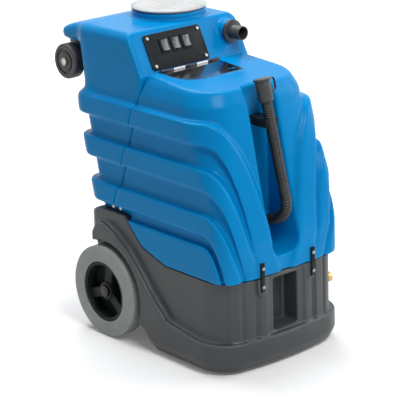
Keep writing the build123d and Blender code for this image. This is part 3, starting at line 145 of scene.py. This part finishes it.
# Drain hose: the ends of its straight run, the bend below it, its tail and its ribs
HOSE_TOP = Vector((0, -0.280702, 0.700))
HOSE_LOW = Vector((0.012, -0.336269, 0.440))
HOSE_BEND_R = 0.060
HOSE_TAIL = 0.030
HOSE_RIDGE = 0.015
HOSE_VALLEY = 0.0132
HOSE_PITCH = 0.0064
HOSE_SIDES = 40
ROUTE_STEPS = 64
RIB_STEPS = 8
RIB_FLATNESS = 1.35

# Drive wheels: grooves of the tread, rounding of the shoulders, and the steps of turned pieces
TREAD_GROOVES = 5
GROOVE_WIDE = 0.0022
GROOVE_DEEP = 0.0024
SHOULDER = 0.005
SHOULDER_TURNS = (0, 30, 60, 90)
LATHE_STEPS = 128
SHARP_ANGLE = math.radians(32)

# Disc behind the spokes: its bore, thickness and place, and its dish as dips and shares of the rim's radius
RIM_GRIP = 0.009
DISC_BORE = 0.014
DISC_THICK = 0.002
DISC_PLACE = 0.015
DISC_DISH = ((0.003, 0.4), (0.0, 0.55), (0.0, 0.88), (0.002, 1.0))

# Looks: darker and lighter colour, least and most roughness, scale of the blotches and the grain, and relief
LOOKS = {
    "blue_plastic": ((0.0, 0.205, 0.50), (0.0, 0.228, 0.55), (0.20, 0.28), 5.0, 420.0, 0.05),
    "grey_plastic": ((0.040, 0.045, 0.048), (0.054, 0.060, 0.063), (0.32, 0.44), 6.0, 500.0, 0.14),
    "steel_plate": ((0.030, 0.030, 0.032), (0.044, 0.044, 0.046), (0.4, 0.52), 12.0, 900.0, 0.1),
    "clear_plastic": ((0.38, 0.395, 0.40), (0.47, 0.485, 0.49), (0.22, 0.34), 14.0, 500.0, 0.08),
    "gasket_rubber": ((0.018, 0.018, 0.019), (0.03, 0.03, 0.031), (0.55, 0.7), 20.0, 800.0, 0.2),
    "black_plastic": ((0.009, 0.0115, 0.013), (0.015, 0.018, 0.020), (0.34, 0.46), 16.0, 1200.0, 0.12),
    "switch_plastic": ((0.055, 0.062, 0.062), (0.13, 0.145, 0.145), (0.16, 0.3), 160.0, 900.0, 0.08),
    "screw_steel": ((0.50, 0.50, 0.50), (0.66, 0.66, 0.65), (0.24, 0.4), 60.0, 1500.0, 0.1),
    "polished_steel": ((0.42, 0.43, 0.44), (0.52, 0.53, 0.54), (0.08, 0.16), 18.0, 300.0, 0.03),
    "cuff_plastic": ((0.028, 0.030, 0.034), (0.044, 0.047, 0.051), (0.34, 0.46), 25.0, 900.0, 0.12),
    "hose_plastic": ((0.008, 0.008, 0.009), (0.016, 0.016, 0.017), (0.26, 0.38), 25.0, 900.0, 0.08),
    "tyre_rubber": ((0.225, 0.25, 0.242), (0.28, 0.308, 0.298), (0.55, 0.7), 22.0, 900.0, 0.22),
    "wheel_rubber": ((0.020, 0.018, 0.018), (0.036, 0.032, 0.032), (0.42, 0.55), 25.0, 900.0, 0.14),
    "fork_steel": ((0.42, 0.42, 0.41), (0.56, 0.56, 0.55), (0.3, 0.44), 40.0, 1200.0, 0.08),
    "coupler_brass": ((0.50, 0.29, 0.09), (0.66, 0.41, 0.15), (0.2, 0.32), 50.0, 1000.0, 0.06),
    "motor_shell": ((0.44, 0.44, 0.45), (0.56, 0.56, 0.57), (0.35, 0.5), 15.0, 700.0, 0.15),
    "rotor_steel": ((0.25, 0.22, 0.2), (0.42, 0.38, 0.34), (0.35, 0.5), 30.0, 900.0, 0.1),
    "white_pipe": ((0.66, 0.66, 0.63), (0.76, 0.76, 0.73), (0.35, 0.48), 15.0, 800.0, 0.06),
    "dark_steel": ((0.035, 0.035, 0.037), (0.06, 0.06, 0.063), (0.28, 0.42), 40.0, 1200.0, 0.1),
    "dull_steel": ((0.26, 0.26, 0.26), (0.36, 0.36, 0.355), (0.3, 0.45), 50.0, 1400.0, 0.1),
}
FLOOR_LOOK = ((0.93, 0.93, 0.93), (0.95, 0.95, 0.95), (0.7, 0.8), 2.0, 60.0, 0.0)

# More of some looks: the colour of the painted highlight on sharp edges, the stretch of the noise, and
# sockets of the shader
MORE = {
    # Blue and grey plastics get a paler colour on their sharp edges, a painted highlight
    "blue_plastic": {"worn": (0.0, 0.30, 0.66), "Specular_IOR_Level": 0.08},
    "grey_plastic": {"worn": (0.12, 0.13, 0.135), "Specular_IOR_Level": 0.36},
    "clear_plastic": {"Subsurface_Weight": 0.2, "Specular_IOR_Level": 0.3},
    "black_plastic": {"Specular_IOR_Level": 0.10},
    "cuff_plastic": {"Specular_IOR_Level": 0.35},
    "hose_plastic": {"Specular_IOR_Level": 0.4},
    "polished_steel": {"stretch": (1, 12, 12), "Metallic": 1.0},
}
for metal in ("screw_steel", "fork_steel", "coupler_brass", "motor_shell", "rotor_steel", "dark_steel",
              "dull_steel"):
    MORE[metal] = {"Metallic": 1.0}

# Nodes whose look isn't that of their slot
OTHER_LOOKS = {"rear_axle": "dark_steel", "axle_caps": "dark_steel", "fill_hinge": "dark_steel",
               "hinge_pin": "dark_steel", "loading_caps": "dull_steel", "strap_screws": "dull_steel",
               "panel_screws": "dull_steel"}
SLOTS = {entry["node"]: entry["material_slot"] for entry in frame["record"]["subparts"]}


def make_camera():
    """Camera at the photograph's place."""
    flat = math.cos(CAMERA_PITCH)
    ahead = Vector((math.sin(CAMERA_AZIMUTH) * flat, math.cos(CAMERA_AZIMUTH) * flat,
                    -math.sin(CAMERA_PITCH)))
    right = ahead.cross(Vector((0, 0, 1))).normalized()
    up = right.cross(ahead)
    turn_right = right * math.cos(CAMERA_ROLL) + up * math.sin(CAMERA_ROLL)
    turn_up = up * math.cos(CAMERA_ROLL) - right * math.sin(CAMERA_ROLL)
    data = bpy.data.cameras.new("photo_camera")
    data.sensor_width = CAMERA_SENSOR
    data.lens = CAMERA_LENS
    data.clip_end = CAMERA_REACH
    camera = bpy.data.objects.new("photo_camera", data)
    turn = Matrix((turn_right, turn_up, -ahead)).transposed().to_4x4()
    camera.matrix_world = Matrix.Translation(CAMERA_PLACE) @ turn
    scene.collection.objects.link(camera)
    scene.camera = camera


def make_light(name, place, wide, power):
    """Soft square lamp that points at the machine's middle."""
    data = bpy.data.lights.new(name, "AREA")
    data.size = wide
    data.energy = power
    lamp = bpy.data.objects.new(name, data)
    way = Vector(LAMP_AIM) - Vector(place)
    lamp.location = place
    lamp.rotation_mode = "QUATERNION"
    lamp.rotation_quaternion = way.to_track_quat("-Z", "Y")
    scene.collection.objects.link(lamp)


def seen_or_mirrored(tree):
    """Output that is 1 for rays from the camera, off gloss and through glass, and 0 for others."""
    path = tree.nodes.new("ShaderNodeLightPath")
    either = tree.nodes.new("ShaderNodeMath")
    either.operation = "MAXIMUM"
    any_of = tree.nodes.new("ShaderNodeMath")
    any_of.operation = "MAXIMUM"
    tree.links.new(path.outputs["Is Camera Ray"], either.inputs[0])
    tree.links.new(path.outputs["Is Glossy Ray"], either.inputs[1])
    tree.links.new(either.outputs[0], any_of.inputs[0])
    tree.links.new(path.outputs["Is Transmission Ray"], any_of.inputs[1])
    return any_of.outputs[0]


def make_world():
    """Even pale light, with a white background for the camera, in reflections and through glass."""
    world = bpy.data.worlds.new("studio")
    world.use_nodes = True
    tree = world.node_tree
    lit = tree.nodes["Background"]
    lit.inputs["Color"].default_value = (1, 1, 1, 1)
    lit.inputs["Strength"].default_value = WORLD_LIGHT
    white = tree.nodes.new("ShaderNodeBackground")
    white.inputs["Color"].default_value = (1, 1, 1, 1)
    white.inputs["Strength"].default_value = 1.0
    mix = tree.nodes.new("ShaderNodeMixShader")
    tree.links.new(seen_or_mirrored(tree), mix.inputs[0])
    tree.links.new(lit.outputs[0], mix.inputs[1])
    tree.links.new(white.outputs[0], mix.inputs[2])
    tree.links.new(mix.outputs[0], tree.nodes["World Output"].inputs["Surface"])
    scene.world = world


def make_floor():
    """Pale floor that is seen as white away from the object and keeps its shadow."""
    mesh = bpy.data.meshes.new("floor")
    form = bmesh.new()
    bmesh.ops.create_grid(form, x_segments=1, y_segments=1, size=FLOOR_HALF)
    form.to_mesh(mesh)
    form.free()
    floor = bpy.data.objects.new("floor", mesh)
    scene.collection.objects.link(floor)
    material = finish("pale_floor", *FLOOR_LOOK)
    tree = material.node_tree
    place = tree.nodes.new("ShaderNodeTexCoord")
    away = tree.nodes.new("ShaderNodeVectorMath")
    away.operation = "LENGTH"
    tree.links.new(place.outputs["Object"], away.inputs[0])
    glow = tree.nodes.new("ShaderNodeEmission")
    tree.links.new(map_range(tree, away.outputs["Value"], GLOW_AWAY, GLOW_POWER), glow.inputs["Strength"])
    both = tree.nodes.new("ShaderNodeAddShader")
    shader = tree.nodes["Principled BSDF"]
    tree.links.new(shader.outputs[0], both.inputs[0])
    tree.links.new(glow.outputs[0], both.inputs[1])
    mix = tree.nodes.new("ShaderNodeMixShader")
    tree.links.new(seen_or_mirrored(tree), mix.inputs[0])
    tree.links.new(shader.outputs[0], mix.inputs[1])
    tree.links.new(both.outputs[0], mix.inputs[2])
    tree.links.new(mix.outputs[0], tree.nodes["Material Output"].inputs["Surface"])
    floor.data.materials.append(material)


def add_noise(tree, vector, scale, detail):
    """Noise texture node on a vector output."""
    noise = tree.nodes.new("ShaderNodeTexNoise")
    noise.inputs["Scale"].default_value = scale
    noise.inputs["Detail"].default_value = detail
    tree.links.new(vector, noise.inputs["Vector"])
    return noise


def map_range(tree, value, span, ends):
    """Output that takes a value's span to two ends."""
    node = tree.nodes.new("ShaderNodeMapRange")
    for socket, number in zip(("From Min", "From Max", "To Min", "To Max"), (*span, *ends)):
        node.inputs[socket].default_value = number
    tree.links.new(value, node.inputs["Value"])
    return node.outputs["Result"]


def finish(name, dark, light, rough, blotch, grain, relief, stretch=(1, 1, 1), worn=None, **sockets):
    """Material whose colour, roughness and fine relief come from noise in object space, with a painted
    highlight on sharp edges where its colour is given.
    """
    material = bpy.data.materials.new(name)
    material.use_nodes = True
    tree = material.node_tree
    shader = tree.nodes["Principled BSDF"]
    place = tree.nodes.new("ShaderNodeTexCoord")
    mapping = tree.nodes.new("ShaderNodeMapping")
    mapping.inputs["Scale"].default_value = stretch
    tree.links.new(place.outputs["Object"], mapping.inputs["Vector"])
    wide = add_noise(tree, mapping.outputs["Vector"], blotch, BLOTCH_DETAIL)
    fine = add_noise(tree, mapping.outputs["Vector"], grain, GRAIN_DETAIL)
    ramp = tree.nodes.new("ShaderNodeValToRGB")
    for element, position, shade in zip(ramp.color_ramp.elements, NOISE_SPAN, (dark, light)):
        element.position = position
        element.color = (*shade, 1)
    tree.links.new(wide.outputs["Fac"], ramp.inputs["Fac"])
    colour = ramp.outputs["Color"]
    # Painted highlight: a paler colour mixed in on sharp edges, found by pointiness
    if worn:
        geometry = tree.nodes.new("ShaderNodeNewGeometry")
        edge = map_range(tree, geometry.outputs["Pointiness"], EDGE_SPAN, (0.0, EDGE_SHARE))
        mix = tree.nodes.new("ShaderNodeMix")
        mix.data_type = "RGBA"
        mix.inputs["B"].default_value = (*worn, 1)
        tree.links.new(edge, mix.inputs["Factor"])
        tree.links.new(colour, mix.inputs["A"])
        colour = mix.outputs["Result"]
    tree.links.new(colour, shader.inputs["Base Color"])
    tree.links.new(map_range(tree, wide.outputs["Fac"], NOISE_SPAN, rough), shader.inputs["Roughness"])
    bump = tree.nodes.new("ShaderNodeBump")
    bump.inputs["Strength"].default_value = relief
    bump.inputs["Distance"].default_value = RELIEF_DEEP
    tree.links.new(fine.outputs["Fac"], bump.inputs["Height"])
    tree.links.new(bump.outputs["Normal"], shader.inputs["Normal"])
    for socket, value in sockets.items():
        shader.inputs[socket.replace("_", " ")].default_value = value
    return material


MATERIALS = {name: finish(name, *look, **MORE.get(name, {})) for name, look in LOOKS.items()}


def dress(thing, look):
    """Give an object one material."""
    thing.data.materials.clear()
    thing.data.materials.append(MATERIALS[look])


def add_piece(name, mesh, slot, body):
    """New visible piece that rides on a body."""
    piece = bpy.data.objects.new(name, mesh)
    scene.collection.objects.link(piece)
    dress(piece, slot)
    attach(piece, body)
    return piece


def fade(distance, near, far):
    """0 up to near, 1 beyond far."""
    share = np.clip((distance - near) / (far - near), 0, 1)
    return share * share * (3 - 2 * share)


def seam_away(co):
    """Distance from the slanted seam between the tanks."""
    slant = math.hypot(1, SEAM_LEAN)
    return np.abs(co[:, 1] - SEAM_FOOT_Y + SEAM_LEAN * (co[:, 2] - SEAM_FOOT_Z)) / slant


def roll(distance, far):
    """Softening beside a seam: less at it, all of it beyond far."""
    return SEAM_ROLL + (1 - SEAM_ROLL) * fade(distance, ROLL_NEAR, far)


def middle(node):
    """Middle of a CAD node's box."""
    low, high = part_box(node)
    return (low + high) / 2


def rear_hold(co):
    """Softening of the rear tank: less at the seams, none at the collar and the inlet, more at the flare."""
    lid = middle("recovery_lid")
    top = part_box("rear_tank")[1].z - COLLAR_TALL
    collar = np.hypot(co[:, 0] - lid.x, co[:, 1] - lid.y)
    head = np.maximum(fade(top - COLLAR_DROP - co[:, 2], *HEAD_FADE), fade(collar, *COLLAR_FADE))
    barb = middle("vacuum_inlet")
    inlet = np.hypot(co[:, 0] - barb.x, co[:, 2] - barb.z) + FAR_OFF * (co[:, 1] > INLET_BACK_Y)
    seams = roll(seam_away(co), TANK_ROLL_FAR)
    foot = roll(co[:, 2] - SEAM_FOOT_Z, TANK_ROLL_FAR)
    hold = seams * head * fade(inlet, *INLET_FADE) * foot
    usual = TANK_ROUNDS / FLARE_ROUNDS
    flare = fade(co[:, 1], FLARE_Y, FLARE_Y + FLARE_IN_Y) * fade(co[:, 2], FLARE_Z, FLARE_Z + FLARE_IN_Z)
    return hold * (usual + (1 - usual) * flare)


def front_hold(co):
    """Softening of the front tank: less at the seams, and none round the fill mouth."""
    base = np.interp(co[:, 1], BASE_STEP_Y, BASE_STEP_Z)
    low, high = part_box("fill_lid")
    lid = middle("fill_lid")
    half = (high - low) / 2
    beside = np.abs(co[:, 0] - lid.x) - half.x + MOUTH_MARGIN
    before = np.abs(co[:, 1] - lid.y) - half.y + MOUTH_MARGIN
    top = np.maximum(fade(MOUTH_LOW_Z - co[:, 2], *HEAD_FADE), fade(np.maximum(beside, before), *MOUTH_FADE))
    return roll(seam_away(co), TANK_ROLL_FAR) * roll(co[:, 2] - base, BASE_ROLL_FAR) * top


def base_hold(co):
    """Softening of the base housing: less at its seam, and none at its foot and its holes."""
    base = np.interp(co[:, 1], BASE_STEP_Y, BASE_STEP_Z)
    wheel = middle("rear_axle")
    port = middle("coupler_body")
    axle = np.hypot(co[:, 1] - wheel.y, co[:, 2] - wheel.z)
    coupler = np.hypot(co[:, 1] - port.y, co[:, 2] - port.z) + FAR_OFF * (co[:, 0] < 0)
    holes = fade(axle, *AXLE_FADE) * fade(coupler, *COUPLER_FADE)
    return roll(base - co[:, 2], BASE_ROLL_FAR) * fade(co[:, 2], *FOOT_FADE) * holes


def soften(node, hold, rounds):
    """Moulded shell in place of a CAD node: its form remeshed and softened where hold allows it."""
    source = nodes[node]
    mesh = source.data.copy()
    form = bmesh.new()
    form.from_mesh(mesh)
    bmesh.ops.remove_doubles(form, verts=form.verts, dist=POINT_NEAR)
    form.to_mesh(mesh)
    form.free()
    rough = bpy.data.objects.new(node + "_rough", mesh)
    scene.collection.objects.link(rough)
    remesh = rough.modifiers.new("remesh", "REMESH")
    remesh.mode = "VOXEL"
    remesh.voxel_size = VOXEL
    graph = bpy.context.evaluated_depsgraph_get()
    shell = bpy.data.meshes.new_from_object(rough.evaluated_get(graph))
    bpy.data.objects.remove(rough)
    count = len(shell.vertices)
    co = np.empty(count * 3)
    shell.vertices.foreach_get("co", co)
    co = co.reshape(-1, 3)
    pairs = np.empty(len(shell.edges) * 2, dtype=np.int64)
    shell.edges.foreach_get("vertices", pairs)
    pairs = pairs.reshape(-1, 2)
    ends = np.concatenate((pairs[:, 0], pairs[:, 1]))
    others = np.concatenate((pairs[:, 1], pairs[:, 0]))
    degree = np.maximum(np.bincount(ends, minlength=count), 1)
    amount = hold(co)[:, None]
    for step in range(rounds):
        sums = np.stack([np.bincount(ends, co[others, axis], count) for axis in range(3)], 1)
        mean = sums / degree[:, None]
        strength = SMOOTH_STEP if step < FIRST_ROUNDS else SMOOTH_STEP * amount
        co = co + (mean - co) * strength
    shell.vertices.foreach_set("co", co.ravel())
    shell.update()
    draft = bpy.data.objects.new(node + "_draft", shell)
    scene.collection.objects.link(draft)
    thin = draft.modifiers.new("thin", "DECIMATE")
    thin.ratio = KEEP_SHARE
    graph = bpy.context.evaluated_depsgraph_get()
    final = bpy.data.meshes.new_from_object(draft.evaluated_get(graph))
    bpy.data.objects.remove(draft)
    final.polygons.foreach_set("use_smooth", [True] * len(final.polygons))
    piece = add_piece(node + "_shell", final, SLOTS[node], "machine")
    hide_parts(node)


def bevel_node(node):
    """Small rounded edges on a CAD node, by modifiers, with smooth shading."""
    thing = nodes[node]
    weld = thing.modifiers.new("weld", "WELD")
    weld.merge_threshold = WELD_NEAR
    edge = thing.modifiers.new("edge", "BEVEL")
    edge.width = SMALL_EDGE
    edge.segments = EDGE_STEPS
    edge.limit_method = "ANGLE"
    edge.angle_limit = EDGE_ANGLE
    edge.harden_normals = True
    thing.data.polygons.foreach_set("use_smooth", [True] * len(thing.data.polygons))


def hose_route():
    """Control points of the hose's smooth line, from its top to the spigot."""
    down = (HOSE_LOW - HOSE_TOP).normalized()
    back = (Vector((0, 1, 0)) - down * down.y).normalized()
    near = HOSE_LOW - down * HOSE_BEND_R
    corner = HOSE_LOW + down * HOSE_BEND_R
    end = corner + back * (HOSE_BEND_R + HOSE_TAIL)
    return [HOSE_TOP, near, corner, end]


def spline_points(points, steps):
    """Points along the smooth spline of a route's control points."""
    curve = bpy.data.curves.new("route", "CURVE")
    curve.dimensions = "3D"
    curve.resolution_u = steps
    line = curve.splines.new("NURBS")
    line.points.add(len(points) - 1)
    for point, target in zip(line.points, points):
        point.co = (*target, 1)
    line.use_endpoint_u = True
    line.order_u = 3
    holder = bpy.data.objects.new("route", curve)
    scene.collection.objects.link(holder)
    graph = bpy.context.evaluated_depsgraph_get()
    mesh = bpy.data.meshes.new_from_object(holder.evaluated_get(graph))
    found = [vertex.co.copy() for vertex in mesh.vertices]
    bpy.data.objects.remove(holder)
    return found


def ribbed_hose():
    """Ribbed tube along the hose's smooth line."""
    line = np.array(spline_points(hose_route(), ROUTE_STEPS))
    runs = np.linalg.norm(np.diff(line, axis=0), axis=1)
    along = np.concatenate(((0,), np.cumsum(runs)))
    ribs = int(along[-1] / HOSE_PITCH)
    places = np.linspace(0, along[-1], ribs * RIB_STEPS + 1)
    centres = np.stack([np.interp(places, along, line[:, axis]) for axis in range(3)], 1)
    aims = np.gradient(centres, axis=0)
    aims /= np.linalg.norm(aims, axis=1)[:, None]
    side = (HOSE_LOW - HOSE_TOP).cross(Vector((0, 1, 0))).normalized()
    form = bmesh.new()
    rings = []
    for index, (centre, aim) in enumerate(zip(centres, aims)):
        wave = 0.5 - 0.5 * math.cos(2 * math.pi * (index % RIB_STEPS) / RIB_STEPS)
        radius = HOSE_VALLEY + (HOSE_RIDGE - HOSE_VALLEY) * min(1.0, RIB_FLATNESS * wave)
        out = Vector(aim).cross(side).normalized()
        ring = []
        for step in range(HOSE_SIDES):
            angle = 2 * math.pi * step / HOSE_SIDES
            spoke = side * math.cos(angle) + out * math.sin(angle)
            ring.append(form.verts.new(Vector(centre) + spoke * radius))
        rings.append(ring)
    for low, high in zip(rings, rings[1:]):
        for step in range(HOSE_SIDES):
            after = (step + 1) % HOSE_SIDES
            form.faces.new((low[step], low[after], high[after], high[step]))
    form.faces.new(rings[0])
    form.faces.new(list(reversed(rings[-1])))
    bmesh.ops.recalc_face_normals(form, faces=form.faces)
    mesh = bpy.data.meshes.new("drain_hose_ribbed")
    form.to_mesh(mesh)
    form.free()
    mesh.polygons.foreach_set("use_smooth", [True] * len(mesh.polygons))
    piece = add_piece("drain_hose_ribbed", mesh, "hose_plastic", "machine")
    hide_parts("drain_hose")


def lathe(name, profile, centre, slot, body):
    """Ring turned about the X axis through centre, from a closed profile of (x, radius) points."""
    form = bmesh.new()
    rings = []
    for step in range(LATHE_STEPS):
        angle = 2 * math.pi * step / LATHE_STEPS
        spoke = Vector((0, math.cos(angle), math.sin(angle)))
        rings.append([form.verts.new(centre + Vector((x, 0, 0)) + spoke * radius) for x, radius in profile])
    for low, high in zip(rings, rings[1:] + rings[:1]):
        for index in range(len(profile)):
            form.faces.new((low[index - 1], low[index], high[index], high[index - 1]))
    bmesh.ops.recalc_face_normals(form, faces=form.faces)
    mesh = bpy.data.meshes.new(name)
    form.to_mesh(mesh)
    form.free()
    mesh.polygons.foreach_set("use_smooth", [True] * len(mesh.polygons))
    mesh.set_sharp_from_angle(angle=SHARP_ANGLE)
    return add_piece(name, mesh, slot, body)


def treaded_tyre(word):
    """Tyre with rounded shoulders and grooves round its tread, in place of the plain one."""
    node = "tyre_" + word
    low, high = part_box(node)
    half = (high.x - low.x) / 2
    outer = (high.z - low.z) / 2
    inner = (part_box("hub_" + word)[1].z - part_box("hub_" + word)[0].z) / 2
    shoulder = []
    for turn in SHOULDER_TURNS:
        angle = math.radians(turn)
        shoulder.append((half - SHOULDER * (1 - math.cos(angle)), outer - SHOULDER * (1 - math.sin(angle))))
    profile = [(half, inner), (-half, inner)] + [(-place, radius) for place, radius in shoulder]
    pitch = 2 * (half - SHOULDER) / (TREAD_GROOVES + 1)
    for groove in range(TREAD_GROOVES):
        place = -half + SHOULDER + pitch * (groove + 1)
        profile.append((place - GROOVE_WIDE / 2, outer))
        profile.append((place - GROOVE_WIDE / 3, outer - GROOVE_DEEP))
        profile.append((place + GROOVE_WIDE / 3, outer - GROOVE_DEEP))
        profile.append((place + GROOVE_WIDE / 2, outer))
    profile += reversed(shoulder)
    piece = lathe("treaded_" + node, profile, (low + high) / 2, SLOTS[node], "wheel_" + word)
    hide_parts(node)


def wheel_back(word):
    """Dished disc that closes the inner side of a wheel behind its spokes."""
    low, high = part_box("hub_" + word)
    rim = (high.z - low.z) / 2 - RIM_GRIP
    centre = middle("tyre_" + word)
    inward = -math.copysign(1, centre.x)
    front = [(DISC_PLACE - DISC_DISH[0][0], DISC_BORE)]
    front += [(DISC_PLACE - dip, share * rim) for dip, share in DISC_DISH]
    rear = [(place + DISC_THICK, radius) for place, radius in reversed(front)]
    profile = [(inward * place, radius) for place, radius in front + rear]
    lathe("wheel_back_" + word, profile, centre, "black_plastic", "wheel_" + word)


make_camera()
make_world()
ribbed_hose()
for node, thing in nodes.items():
    dress(thing, OTHER_LOOKS.get(node, SLOTS[node]))

soften("rear_tank", rear_hold, FLARE_ROUNDS)
soften("front_tank", front_hold, TANK_ROUNDS)
soften("base_housing", base_hold, BASE_ROUNDS)
for word in ("left", "right"):
    treaded_tyre(word)
    wheel_back(word)
for node in EDGED_NODES:
    bevel_node(node)

make_floor()
for name, lamp in LAMPS.items():
    make_light(name, *lamp)
